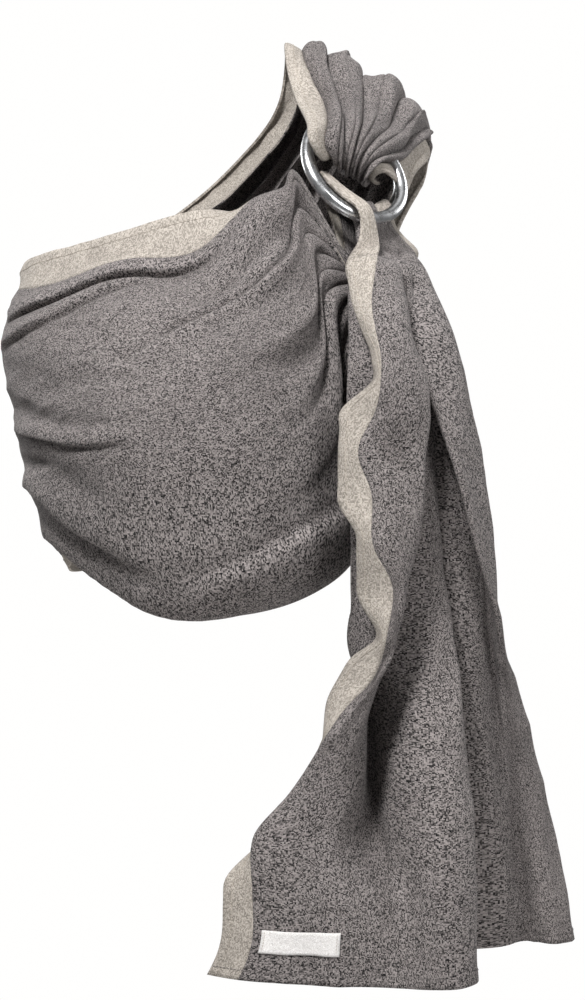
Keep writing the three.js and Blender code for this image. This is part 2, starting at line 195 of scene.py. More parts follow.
POCKET_INSIDE = [(-76, -25), (-52, -26), (-28, -24), (-16, -13)]  # (down, out)
BELOW_RINGS = [(82, -27), (70, -28)]  # (down, out)
SHOULDER = [
    [[-33, -148, -83], [-25, -141, -82], [-14, -129, -84], [-4, -123, -88], [8, -116, -91]],
    [[-40, -158, -72], [-27, -149, -71], [-13, -137, -73], [1, -130, -78], [16, -122, -87]],
    [[-43, -148, -58], [-28, -141, -55], [-9, -124, -55], [14, -110, -62], [28, -96, -94]],
    [[-50, -84, -31], [-30, -82, -28], [-8, -78, -31], [24, -70, -41], [38, -64, -80]],
    [[-57, -50, -3], [-38, -48, 0], [-10, -46, -6], [30, -40, -24], [44, -38, -64]],
    [[-60, -10, 25], [-41, -8, 24], [-8, -6, 9], [33, -4, -18], [44, -12, -54]],
    [[-64, 52, 14], [-38, 58, 6], [-2, 64, -15], [33, 60, -46], [42, 46, -88]],
    [[-86, 86, -16], [-61, 95, -38], [-29, 99, -76], [5, 94, -120], [22, 76, -168]],
]
BACK = [
    [[-130, 100, -62], [-108, 106, -110], [-84, 108, -170], [-60, 107, -232], [-36, 98, -290]],
    [[-186, 88, -103], [-172, 98, -168], [-156, 103, -238], [-138, 102, -308], [-118, 92, -366]],
    [[-238, 54, -132], [-238, 62, -200], [-230, 66, -268], [-217, 64, -336], [-196, 52, -392]],
    [[-274, -6, -148], [-281, -8, -208], [-276, -8, -276], [-262, -10, -342], [-238, -14, -398]],
]
# Across the pouch the sections have a point at the foot of the upper band, which stands nearly
# upright, and another where the cloth turns under at the bottom.
POUCH_AT = [0, 0.075, 0.25, 0.5, 0.75, 0.9, 1]
POUCH = [
    [[-258, -74, -146], [-266, -80, -172], [-279, -92, -212], [-266, -106, -276], [-252, -104, -340],
     [-228, -88, -384], [-206, -66, -374]],
    [[-216, -112, -140], [-220, -124, -168], [-228, -150, -206], [-224, -174, -270], [-210, -168, -346],
     [-188, -134, -410], [-160, -92, -398]],
    [[-170, -138, -131], [-172, -150, -158], [-173, -184, -196], [-171, -209, -260], [-161, -205, -346],
     [-144, -164, -428], [-124, -104, -412]],
    [[-124, -146, -121], [-122, -160, -150], [-118, -192, -190], [-113, -216, -252], [-102, -211, -347],
     [-88, -170, -424], [-72, -110, -408]],
    [[-90, -132, -124], [-84, -151, -113], [-75, -186, -170], [-66, -201, -238], [-50, -194, -334],
     [-36, -160, -406], [-22, -108, -392]],
    [[-66, -130, -122], [-61, -148, -104], [-51, -166, -144], [-36, -177, -216], [-20, -170, -298],
     [-4, -142, -366], [6, -104, -352]],
    [[-50, -134, -112], [-47, -146, -103], [-42, -152, -124], [-30, -158, -166], [-16, -154, -220],
     [-4, -136, -268], [4, -112, -270]],
]


def turn_strand(across):
    """One strand of the turn: up behind both rings, over the upper wire and down behind the lower."""
    off = WIRE_RADIUS + WIRE_GAP + BUNDLE / 2
    beside = across - UPPER["across"]
    reach = math.sqrt(RING_RADIUS**2 - beside**2)
    down, out = UPPER["down"] + reach, UPPER["out"] - math.tan(UPPER["lean"]) * reach
    slant = RING_RADIUS / reach
    lower = math.sqrt(RING_RADIUS**2 - across**2)
    points = [(down + 22, out - off - 0.5), (down + 9, out - off - 0.3)]
    for angle in np.radians([-90, -45, 0, 45, 90]):
        points.append((down - slant * off * math.cos(angle), out + off * math.sin(angle)))
    points.append(((lower + down) / 2 + 5, (out + off) / 2 - off / 2))
    return [on_ring(across, *p) for p in points]


ACROSS_POINTS = 17


def resampled(section):
    """A cross-section with the same number of points as every other."""
    at = POUCH_AT if len(section) == len(POUCH_AT) else np.linspace(0, 1, len(section))
    return natural(at, section, np.linspace(0, 1, ACROSS_POINTS))


strands = np.linspace(-0.5, 0.5, ACROSS_POINTS) * TURN_WIDTH + TURN_CENTRE
turn = np.array([turn_strand(across) for across in strands]).transpose(1, 0, 2)
path = [gathered(on_pull, down, out, POCKET_WIDTH) for down, out in POCKET_INSIDE]
path += SHOULDER + BACK + POUCH
path += [gathered(on_ring, down, out, TURN_WIDTH, TURN_CENTRE) for down, out in BELOW_RINGS]
stations = np.array([resampled(np.array(section, float)) for section in path] + [*turn])
# Places along the loop by name, as numbers of cross-sections.
STATION = {"fold": 4, "pocket": 6, "slope": 7, "crest": 9, "behind": 10, "back": 11, "low_back": 14,
           "side": 15, "pouch": 17, "middle": 19, "near_ring": 20, "ring_side": 21, "by_ring": 22,
           "gather": 23, "turn": 28, "end": 32}
at_station = lengths(stations[:, ACROSS_POINTS // 2])

# ---- The loop's lengthwise folds ----
# The cloth lies in rounded folds that run the length of the loop. Each list gives where the folds
# end as shares of the width: of the cloth itself, and of the bundle at places along the loop.
FOLD_AT = np.array([0, BORDER, 0.15, 0.26, 0.36, 0.46, 0.56, 0.67, 0.77, 0.87, 1 - BORDER, 1])
POUCH_FOLDS = [0, 0.085, 0.165, 0.27, 0.365, 0.465, 0.56, 0.665, 0.765, 0.865, 0.93, 1]
FOLD_PLACES = {
    "pocket": [0, 0.27, 0.34, 0.42, 0.49, 0.56, 0.63, 0.70, 0.77, 0.83, 0.87, 1],
    "slope": [0, 0.25, 0.32, 0.40, 0.49, 0.57, 0.65, 0.72, 0.80, 0.86, 0.89, 1],
    "crest": [0, 0.17, 0.25, 0.34, 0.44, 0.54, 0.63, 0.72, 0.81, 0.88, 0.91, 1],
    "low_back": [0, 0.06, 0.16, 0.25, 0.37, 0.46, 0.58, 0.67, 0.79, 0.88, 0.95, 1],
    "pouch": POUCH_FOLDS,
    "middle": POUCH_FOLDS,
    "ring_side": [0, 0.07, 0.16, 0.26, 0.35, 0.44, 0.54, 0.64, 0.74, 0.84, 0.93, 1],
    "turn": [0, 0.16, 0.21, 0.26, 0.32, 0.38, 0.44, 0.5, 0.55, 0.6, 0.66, 1],
}
# How deep the folds are along the loop, from valley to crest. Where the cloth turns back over the
# upper ring its other face shows, so the folds stand on that side.
FOLD_DEPTH = {"fold": 12, "pocket": 13, "slope": 11, "crest": 11, "behind": 24, "back": 26, "low_back": 20,
              "side": 1.5, "pouch": 0.0, "middle": 0.0, "near_ring": 0.4, "ring_side": 3, "by_ring": 7,
              "gather": 9, "turn": -4}
# How far the folds are sunk into the body of the loop, as a share of their depth.
FOLD_SINK = {"fold": 0.2, "pocket": 0.0, "slope": -0.4, "crest": -1.1, "behind": 0.0, "back": 0.55,
             "low_back": 0.5, "side": 0.3, "pouch": 0.0, "gather": 0.3, "turn": 0.0}
# The folds lie in heaps of two: a valley between heaps is deep and one within a heap is shallow.
# HEAPS has the fold that each heap starts with, and WITHIN_HEAP how much each fold stands by itself.
HEAPS = [0, 1, 3, 5, 7, 9, 10, 11]
WITHIN_HEAP = {"fold": 0.6, "slope": 0.2, "crest": 0.07, "behind": 0.5, "low_back": 0.9, "side": 0.4,
               "turn": 0.9}
# The grids' fineness: columns in a border, in a fold of the loop and in one of the tail.
BORDER_COLUMNS = 10
FOLD_COLUMNS = 18
TAIL_FOLD_COLUMNS = 13
ROW_STEP = 3.6
FINE = 240  # steps across the body of the loop, on which the folds are laid


def column_shares(ends, cells):
    """Where a grid's columns lie across the cloth, closer together in the two borders."""
    shares = [np.linspace(0, BORDER, BORDER_COLUMNS + 1)]
    for a, b in zip(ends[1:-2], ends[2:-1]):
        shares.append(a + (b - a) * (np.arange(1, cells + 1) / cells))
    shares.append(np.linspace(1 - BORDER, 1, BORDER_COLUMNS + 1)[1:])
    return np.concatenate(shares)


SHARES = column_shares(FOLD_AT, FOLD_COLUMNS)
rows_at = np.linspace(0, at_station[-1], int(at_station[-1] / ROW_STEP))


def stages(values):
    """Values given at named places along the loop, read at every row."""
    knots = [at_station[STATION[name]] for name in values]
    listed = np.array([np.atleast_1d(v) for v in values.values()], float)
    knots = [min(knots[0], 0) - 1, *knots, max(knots[-1], rows_at[-1]) + 1]
    return steady(knots, np.concatenate([listed[:1], listed, listed[-1:]]), rows_at)


# How high the soft rumples stand that cross the folds.
RUMPLE = {"fold": 1.0, "pocket": 1.6, "crest": 3.4, "back": 3.0, "side": 2.2, "pouch": 1.3, "middle": 0.9,
          "ring_side": 1.4, "gather": 0.8, "turn": 0.2}


def rumples(along, across):
    """Soft irregular creases in cloth, from -1 to 1: long ones that lean, and a few short ones."""
    lean = across + 0.25 * along
    long_ones = 1 - 2 * np.abs(noise(along / 95 + 3, lean / 30, 21))
    short_ones = 1 - 2 * np.abs(noise(along / 38, (across - 0.4 * along) / 24 + 9, 22))
    return 0.6 * long_ones + 0.4 * short_ones


def loop_surface():
    """The loop's cloth as a grid of points: rows along it, columns across it."""
    base = natural(at_station, stations, rows_at)
    fine_at = np.linspace(0, 1, FINE + 1)
    fine = natural(np.linspace(0, 1, ACROSS_POINTS), base.transpose(1, 0, 2), fine_at).transpose(1, 0, 2)
    face = blur(normals_of(fine), 3)
    face /= np.linalg.norm(face, axis=2, keepdims=True)
    ends = stages(FOLD_PLACES)
    depth = stages(FOLD_DEPTH)[:, 0]
    count = len(FOLD_AT) - 1
    index = np.clip(np.searchsorted(FOLD_AT, SHARES, side="left") - 1, 0, count - 1)
    part = (SHARES - FOLD_AT[index]) / (FOLD_AT[index + 1] - FOLD_AT[index])
    # The folds wander a little, and swell and shrink, along their length.
    pleated = np.clip(np.abs(depth) / 12, 0, 1)
    for k in range(1, count):
        ends[:, k] += 0.014 * noise(rows_at / 55, 3.7 * k, 11) * pleated
    swell = np.stack([1 + 0.3 * noise(rows_at / 70, 5.3 * k, 12) for k in range(count)], 1)
    swell[:, 0], swell[:, -1] = 0.25, 0.25
    low, high = ends[:, index], ends[:, index + 1]
    rounded = np.clip(np.abs(depth) / 8, 0, 1)[:, None]
    place = low + (high - low) * ((1 - rounded) * part + rounded * (0.5 - 0.5 * np.cos(np.pi * part)))
    heap = np.clip(np.searchsorted(HEAPS, index, side="right") - 1, 0, len(HEAPS) - 2)
    first, last = np.array(HEAPS)[heap], np.array(HEAPS)[heap + 1]
    start, finish = ends[:, first], ends[:, last]
    heap_part = np.clip((place - start) / (finish - start), 0, 1)
    alone = (last - first == 1)[None]
    fine_rise = np.sin(np.pi * part) ** 0.62
    heap_rise = np.sin(np.pi * heap_part) ** 0.55
    within = stages(WITHIN_HEAP)
    rise = np.where(alone, fine_rise, within * fine_rise + (1 - within) * heap_rise)
    lift = depth[:, None] * swell[:, index] * rise
    lift -= depth[:, None] * stages(FOLD_SINK)
    lift -= 0.5 * depth[:, None] * smooth(0, BORDER, np.minimum(SHARES, 1 - SHARES))
    lift += rumples(rows_at[:, None], SHARES[None] * CLOTH_WIDTH) * stages(RUMPLE)
    i = np.clip((place * FINE).astype(int), 0, FINE - 1)
    f = (place * FINE - i)[..., None]
    row = np.arange(len(rows_at))[:, None]
    point = fine[row, i] * (1 - f) + fine[row, i + 1] * f
    normal = face[row, i] * (1 - f) + face[row, i + 1] * f
    return point + normal * lift[..., None], normal


loop, loop_face = loop_surface()

# ---- The pouch's own folds ----
# Each crease has a height, a width and a lip, which is how far its crest hangs over the side that it
# drops to. It runs across the pouch through points (cross-section, share of the width).
POUCH_SPREAD = 400.0  # the pouch's mean width across, for distances from a crease
CREASED = [13, 25]  # the first and last cross-section that a crease can move
CREASES = [
    (8.0, 17, 5.0, [(15.8, 0.17), (16.5, 0.115), (17.4, 0.095), (18.2, 0.09), (19.0, 0.088), (19.6, 0.09)]),
    (5.5, 20, 2.5, [(15.8, 0.27), (16.5, 0.215), (17.5, 0.15), (18.3, 0.115)]),
    (-8, 15, 0, [(22.3, 0.19), (21.3, 0.235), (20.3, 0.19), (19.4, 0.215), (18.6, 0.29)]),
    (7.0, 19, 3.0, [(22.3, 0.26), (21.0, 0.265), (20.0, 0.275), (18.9, 0.33), (17.9, 0.44)]),
    (-9.0, 17, 0, [(22.2, 0.31), (20.8, 0.295), (19.7, 0.305), (18.8, 0.36), (17.9, 0.48)]),
    (5.0, 16, 0, [(22.2, 0.42), (21.3, 0.44), (20.4, 0.44), (19.6, 0.48)]),
    (-5.5, 14, 0, [(22.2, 0.5), (21.4, 0.53), (20.6, 0.53), (19.9, 0.56)]),
    (-6.5, 14, 0, [(22.1, 0.62), (21.7, 0.64), (21.1, 0.65), (20.4, 0.66)]),
    (5.5, 15, 0, [(22.1, 0.7), (21.5, 0.73), (20.8, 0.73)]),
    (-5.0, 14, 0, [(15.6, 0.44), (16.4, 0.5), (17.0, 0.56), (17.7, 0.58)]),
    (5.0, 17, 2.0, [(15.6, 0.52), (16.5, 0.57), (17.2, 0.62), (17.9, 0.64)]),
    (-5.0, 13, 0, [(15.4, 0.64), (16.3, 0.67), (16.9, 0.71), (17.4, 0.76)]),
    (6.0, 18, 3.0, [(15.3, 0.68), (16.1, 0.735), (16.7, 0.78), (17.3, 0.8), (18.0, 0.82)]),
    (-5.0, 15, 0, [(15.3, 0.75), (16.1, 0.785), (16.8, 0.82), (17.6, 0.845), (18.4, 0.85)]),
    (5.0, 16, 2.5, [(15.3, 0.83), (16.2, 0.85), (17.0, 0.87), (18.0, 0.89), (19.0, 0.9)]),
    (-3.5, 20, 0, [(15.7, 0.33), (16.4, 0.38), (17.1, 0.45), (17.8, 0.49)]),
    (5.0, 16, 2.0, [(21.3, 0.88), (20.6, 0.84), (19.8, 0.82), (19.1, 0.83), (18.3, 0.85)]),
    (-4.5, 13, 0, [(21.3, 0.83), (20.6, 0.8), (19.9, 0.785), (19.2, 0.79)]),
]


def crease_field(grid, face):
    """The pouch's folds as moves of the loop's grid."""
    first, last = np.searchsorted(rows_at, at_station[CREASED])
    span = slice(first, last)
    s = np.broadcast_to(rows_at[span, None], (last - first, len(SHARES)))
    q = np.broadcast_to(SHARES * POUCH_SPREAD, s.shape)
    ts = np.gradient(grid[span], axis=0)
    tq = np.gradient(grid[span], axis=1)
    ts /= np.linalg.norm(ts, axis=2, keepdims=True)
    tq /= np.linalg.norm(tq, axis=2, keepdims=True)
    move = np.zeros_like(grid[span])
    for height, width, lip, points in CREASES:
        section, share = np.array(points).T
        along = np.interp(section, np.arange(len(at_station)), at_station)
        listed = np.column_stack([along, share * POUCH_SPREAD])
        dense = natural(lengths(listed), listed, np.linspace(0, lengths(listed)[-1], 48))
        best = np.full(s.shape, 1e9)
        side, at, ps, pq = (np.zeros(s.shape) for _ in range(4))
        for k in range(len(dense) - 1):
            a, d = dense[k], dense[k + 1] - dense[k]
            long = d @ d
            t = np.clip(((s - a[0]) * d[0] + (q - a[1]) * d[1]) / long, 0, 1)
            ds, dq = s - a[0] - t * d[0], q - a[1] - t * d[1]
            away = np.hypot(ds, dq)
            near = away < best
            best = np.where(near, away, best)
            side = np.where(near, np.sign(d[0] * dq - d[1] * ds), side)
            at = np.where(near, (k + t) / (len(dense) - 1), at)
            ps = np.where(near, -d[1] / math.sqrt(long), ps)
            pq = np.where(near, d[0] / math.sqrt(long), pq)
        d = best * side
        taper = np.clip(np.sin(np.pi * np.clip(at, 0, 1)), 0, 1) ** 0.6 * (best < 6 * width)
        if lip:
            rise = np.where(d < 0, np.exp(-((d / width) ** 2)), np.exp(-((d / (0.2 * width)) ** 2)))
            rise = rise - 0.3 * np.exp(-(((d - 0.45 * width) / (0.25 * width)) ** 2))
        else:
            rise = np.exp(-((d / width) ** 2))
        move += face[span] * (height * rise * taper)[..., None]
        if lip:
            shift = lip * np.exp(-((d / (0.35 * width)) ** 2)) * taper
            move += (ts * ps[..., None] + tq * pq[..., None]) * shift[..., None]
    return span, move


crumpled, crease_move = crease_field(loop, loop_face)
loop[crumpled] += crease_move

# ---- The tail ----
# Fold lines down the hanging end, from the left edge of the cloth to the right one, as points
# [x, y, z]. From one line to the next the cloth turns to the front or to the back.
# TAIL_AT has each line's share of the cloth's width.
TAIL_AT = np.array(
    [0, BORDER, 0.12, 0.19, 0.285, 0.39, 0.455, 0.545, 0.625, 0.69, 0.765, 0.86, 1 - BORDER, 1])
TAIL_LINES = [
    # left edge
    [(-15, -192, -166), (-11, -206, -195), (-3, -213, -220), (3, -220, -240), (3, -222, -257),
     (-20, -212, -273), (-22, -213, -340), (-9, -222, -366), (-8, -212, -407), (6, -221, -438),
     (-8, -215, -449), (-22, -206, -470), (-30, -206, -488), (-32, -212, -506), (-33, -196, -527),
     (-48, -184, -561), (-73, -186, -589), (-92, -192, -604), (-105, -195, -621), (-106, -194, -658),
     (-118, -190, -690)],
    # inner edge of the left border
    [(7, -206, -166), (3, -216, -196), (6, -224, -221), (9, -228, -240), (8, -230, -258),
     (5, -226, -274), (-8, -224, -306), (2, -226, -340), (1, -232, -366), (17, -226, -406),
     (12, -228, -438), (10, -222, -449), (2, -220, -469), (-14, -222, -486), (-28, -222, -505),
     (-38, -208, -525), (-59, -202, -558), (-82, -202, -586), (-84, -205, -604), (-83, -206, -655),
     (-95, -205, -690)],
    # crest of the front flap
    [(17, -200, -166), (22, -222, -218), (25, -226, -269), (16, -222, -304), (20, -224, -340),
     (22, -226, -383), (20, -226, -418), (16, -218, -448), (2, -218, -476), (-14, -222, -505),
     (-32, -216, -541), (-52, -214, -592), (-47, -217, -635), (-58, -214, -690)],
    # right tip of the front flap
    [(25, -190, -166), (32, -206, -217), (42, -212, -265), (38, -210, -340), (31, -210, -383),
     (19, -206, -420), (13, -204, -449), (4, -204, -478), (-5, -206, -507), (-13, -206, -543),
     (-22, -212, -592), (-17, -222, -633), (-19, -222, -690)],
    # hidden left tip behind it
    [(-12, -174, -166), (-12, -184, -214), (-15, -191, -266), (-12, -188, -340), (-12, -174, -414),
     (-14, -162, -443), (-8, -154, -472), (0, -148, -501), (2, -154, -543), (6, -178, -590),
     (16, -212, -631), (23, -228, -690)],
    # crest of the second layer
    [(33, -182, -166), (36, -182, -215), (43, -178, -340), (47, -178, -413), (45, -188, -469),
     (48, -204, -511), (47, -224, -589), (51, -232, -690)],
    # right tip of the second layer
    [(28, -168, -166), (38, -170, -214), (49, -168, -296), (60, -170, -413), (68, -184, -486),
     (76, -202, -600), (76, -214, -690)],
    # hidden left tip of the third layer
    [(8, -158, -166), (22, -156, -265), (38, -134, -415), (44, -124, -491), (44, -122, -567),
     (34, -130, -690)],
    # crest of the third layer
    [(29, -158, -166), (43, -168, -213), (65, -170, -340), (74, -156, -415), (88, -136, -493),
     (101, -118, -572), (114, -100, -690)],
    # hidden right tip
    [(39, -146, -166), (56, -158, -212), (81, -160, -340), (92, -146, -416), (104, -122, -494),
     (117, -102, -575), (136, -88, -690)],
    # left tip of the outer layer
    [(16, -176, -166), (14, -184, -193), (28, -190, -230), (46, -194, -267), (65, -192, -316),
     (83, -180, -384), (98, -160, -426), (112, -126, -494), (131, -104, -575), (152, -98, -690)],
    # outer edge of the outer layer
    [(47, -160, -166), (66, -166, -220), (76, -162, -265), (88, -156, -325), (97, -146, -385),
     (102, -138, -432), (121, -114, -495), (144, -96, -576), (167, -86, -690)],
    # inner edge of the right border, and the right edge
    [(42, -140, -166), (62, -142, -218), (83, -130, -325), (97, -112, -433), (136, -74, -580),
     (158, -62, -690)],
    [(31, -128, -166), (46, -126, -217), (64, -112, -324), (78, -94, -434), (112, -60, -582),
     (131, -46, -690)],
]
TAIL_TOP = -166
TAIL_BOTTOM = -688.0
# The height at which the neck pieces end and the hanging pieces start.
TAIL_SPLIT = -160.0
# Near the ring the hanging end lies further back than its lines say, by this much at most.
SET_BACK = 26
# At the ring the left border comes from inside it and over its wire: points [across, down, out] in
# the ring's plane, for the border's left edge and its inner edge. The rest lies behind the wire, at
# places (down, how far it has spread).
RIBBON_START = [
    [(-31, 2, -3), (-24, 24, 1), (-19, 37, 7.5), (-17, 46, 9), (-16, 58, 4)],
    [(-20, 2, -6), (-12, 24, 3), (-7, 37, 9.5), (-5, 46, 10.5), (-2, 58, 5)],
]


NECK_START = ((34, 1), (40, 1), (46, 1.08), (52, 1.22), (60, 1.45))


def tail_surface():
    """The tail's cloth as a grid: rows down it, columns across it from its left edge."""
    levels = np.concatenate([np.arange(TAIL_TOP, -660, -11.0), [-672, TAIL_BOTTOM]])
    lines = []
    for k, line in enumerate(TAIL_LINES):
        listed = np.array(line, float)
        hanging = np.column_stack([steady(-listed[:, 2], listed[:, :2], -levels), levels])
        hanging[:, 1] += SET_BACK * smooth(-270, -150, levels)
        if k < 2:
            top = [on_ring(*p) for p in RIBBON_START[k]]
        else:
            # The other lines start side by side across the turn.
            across = TURN_CENTRE + (0.1 + 0.88 * (k - 1) / 12 - 0.5) * TURN_WIDTH
            top = [on_ring(across * spread, down, -10.0 - 0.04 * (down - 40)) for down, spread in NECK_START]
        lines.append(np.concatenate([np.array(top), hanging]))
    lines = np.array(lines)  # line, level, xyz
    knots = np.mean([lengths(line) for line in lines], axis=0)
    at = np.linspace(0, knots[-1], int(knots[-1] / ROW_STEP))
    rows = natural(knots, lines.transpose(1, 0, 2), at)
    shares = column_shares(TAIL_AT, TAIL_FOLD_COLUMNS)
    made = []
    for section in rows:
        chord = lengths(section)
        made.append(natural(chord, section, np.interp(shares, TAIL_AT, chord)))
    made = np.array(made)
    lift = 2.6 * rumples(at[:, None] * 0.8 + 50, shares[None] * CLOTH_WIDTH * 0.9 + 31)
    lift = lift * smooth(20, 160, at)[:, None] * smooth(0.0, 0.1, np.minimum(shares, 1 - shares))
    return made - normals_of(made) * lift[..., None], shares


tail, TAIL_SHARES = tail_surface()

# ---- Mesh making ----


def cloth_uv(grid, shares, width):
    """Texture coordinates in metres of flat cloth: across it, and along it by the mean step of a row."""
    steps = np.linalg.norm(np.diff(grid, axis=0), axis=2).mean(axis=1)
    along = np.concatenate([[0], np.cumsum(steps)])
    return np.stack(np.broadcast_arrays(shares * width, along[:, None]), 2) * MM


def mesh_object(name, verts, faces, material, uv=None, attributes=None, flat_faces=0):
    """An object from points in millimetres and lists of corners, smooth but for its last faces."""
    mesh = bpy.data.meshes.new(name)
    mesh.from_pydata((np.asarray(verts) * MM).tolist(), [], faces)
    smooth_faces = np.ones(len(mesh.polygons), bool)
    smooth_faces[len(smooth_faces) - flat_faces :] = False
    mesh.polygons.foreach_set("use_smooth", smooth_faces)
    if uv is not None:
        corner = np.zeros(len(mesh.loops), np.int32)
        mesh.loops.foreach_get("vertex_index", corner)
        layer = mesh.uv_layers.new(name="weave")
        layer.data.foreach_set("uv", np.asarray(uv, np.float32)[corner].ravel())
    for key, value in (attributes or {}).items():
        made = mesh.attributes.new(key, "FLOAT", "POINT")
        made.data.foreach_set("value", np.asarray(value, np.float32))
    mesh.materials.append(material)
    mesh.update()
    obj = bpy.data.objects.new(name, mesh)
    bpy.context.scene.collection.objects.link(obj)
    return obj


def quads(rows, columns, start=0, flip=False):
    """The faces of a grid of points, numbered row by row."""
    i = np.arange(rows - 1)[:, None] * columns + np.arange(columns - 1)[None]
    face = np.stack([i, i + columns, i + columns + 1, i + 1], 2).reshape(-1, 4) + start
    return face[:, ::-1] if flip else face


def cloth_object(name, grid, normals, half, uv, material, attributes):
    """A closed sheet: the grid's two faces, each `half` away from it, joined round the edge."""
    rows, columns = grid.shape[:2]
    thick = normals * half[..., None]
    verts = np.concatenate([(grid + thick).reshape(-1, 3), (grid - thick).reshape(-1, 3)])
    count = rows * columns
    rim = np.concatenate([
        np.arange(columns),
        np.arange(1, rows) * columns + columns - 1,
        (rows - 1) * columns + np.arange(columns - 2, -1, -1),
        np.arange(rows - 2, -1, -1) * columns,
    ])
    a, b = rim[:-1], rim[1:]
    side = np.stack([a, b, b + count, a + count], 1)
    faces = np.concatenate([quads(rows, columns), quads(rows, columns, count, True), side])
    both = {key: np.tile(value.ravel(), 2) for key, value in attributes.items()}
    uv = np.tile(uv.reshape(-1, 2), (2, 1))
    return mesh_object(name, verts, faces.tolist(), material, uv, both, len(side))


def crests(grid, normals):
    """How much each point stands proud of the cloth round it, from -1 in a valley to 1 on a crest."""
    level = blur(blur(grid, 4, axis=0), 4, axis=1)
    return np.clip(np.einsum("ijk,ijk->ij", grid - level, normals) / 1.5, -1, 1)


def tubes(paths, radius, sides=6):
    """Round threads with closed ends along several paths of the same number of points."""
    paths = np.asarray(paths, float)
    count = paths.shape[1]
    ahead = np.gradient(paths, axis=1)
    ahead /= np.maximum(np.linalg.norm(ahead, axis=2, keepdims=True), 1e-9)
    side = np.cross(ahead, np.where(np.abs(ahead[..., 2:]) < 0.9, [0, 0, 1.0], [1.0, 0, 0]))
    side /= np.linalg.norm(side, axis=2, keepdims=True)
    up = np.cross(side, ahead)
    end = np.sin(np.pi * (np.arange(count) + 0.5) / count)[None, :, None] ** 0.5
    angle = 2 * np.pi * np.arange(sides) / sides
    verts = np.stack([
        paths + radius * end * (side * math.cos(a) + up * math.sin(a)) for a in angle
    ], 2)
    faces = []
    for p in range(len(paths)):
        base = p * count * sides
        for k in range(count - 1):
            for i in range(sides):
                j = (i + 1) % sides
                a, b = base + k * sides, base + (k + 1) * sides
                faces.append([a + i, a + j, b + j, b + i])
        faces.append([base + i for i in range(sides)][::-1])
        faces.append([base + (count - 1) * sides + i for i in range(sides)])
    return verts.reshape(-1, 3), faces


def stitches(name, line, material, pitch=3.1, long=2.3, radius=0.24):
    """A row of separate stitches along a line of points."""
    run = lengths(line)
    starts = np.arange(1.0, run[-1] - long, pitch)
    paths = [read(start + np.linspace(0, long, 5), run, line) for start in starts]
    return mesh_object(name, *tubes(paths, radius), material)


# ---- Materials ----


def linear(r, g, b):
    """An sRGB colour of 0 to 255 as linear light."""
    c = np.array([r, g, b]) / 255
    return (*np.where(c > 0.04045, ((c + 0.055) / 1.055) ** 2.4, c / 12.92), 1.0)


class Nodes:
    """Short calls for building a material's nodes."""

    def __init__(self, name):
        self.material = bpy.data.materials.new(name)
        self.material.use_nodes = True
        self.tree = self.material.node_tree
        self.shader = self.tree.nodes["Principled BSDF"]

    def node(self, kind, **settings):
        made = self.tree.nodes.new(kind)
        for key, value in settings.items():
            setattr(made, key, value)
        return made

    def feed(self, socket, value):
        if isinstance(value, bpy.types.NodeSocket):
            self.tree.links.new(value, socket)
        else:
            socket.default_value = value

    def math(self, operation, a, b=0.0, c=0.0):
        made = self.node("ShaderNodeMath", operation=operation)
        for socket, value in zip(made.inputs, (a, b, c)):
            self.feed(socket, value)
        return made.outputs[0]

    def mix(self, factor, a, b, blend="MIX"):
        made = self.node("ShaderNodeMix", data_type="RGBA", blend_type=blend)
        self.feed(made.inputs[0], factor)
        self.feed(made.inputs[6], a)
        self.feed(made.inputs[7], b)
        return made.outputs[2]

    def tinted(self, factor, colour, tint):
        """The colour times a tint, as far as factor says."""
        return self.mix(factor, colour, self.mix(1.0, colour, tint, "MULTIPLY"))

    def noise(self, vector, scale, detail=2.0, rough=0.5):
        made = self.node("ShaderNodeTexNoise")
        self.feed(made.inputs["Vector"], vector)
        made.inputs["Scale"].default_value = scale
        made.inputs["Detail"].default_value = detail
        made.inputs["Roughness"].default_value = rough
        return made.outputs["Fac"]

    def ramp(self, value, low, high, to_low=0.0, to_high=1.0):
        made = self.node("ShaderNodeMapRange")
        for socket, v in zip(made.inputs, (value, low, high, to_low, to_high)):
            self.feed(socket, v)
        return made.outputs[0]

    def combine(self, x, y, z=0.0):
        made = self.node("ShaderNodeCombineXYZ")
        for socket, v in zip(made.inputs, (x, y, z)):
            self.feed(socket, v)
        return made.outputs[0]

    def attribute(self, name):
        return self.node("ShaderNodeAttribute", attribute_name=name).outputs["Fac"]

    def bump(self, height, strength, distance, normal=None):
        made = self.node("ShaderNodeBump")
        made.inputs["Strength"].default_value = strength
        made.inputs["Distance"].default_value = distance
        self.feed(made.inputs["Height"], height)
        if normal is not None:
            self.feed(made.inputs["Normal"], normal)
        return made.outputs[0]


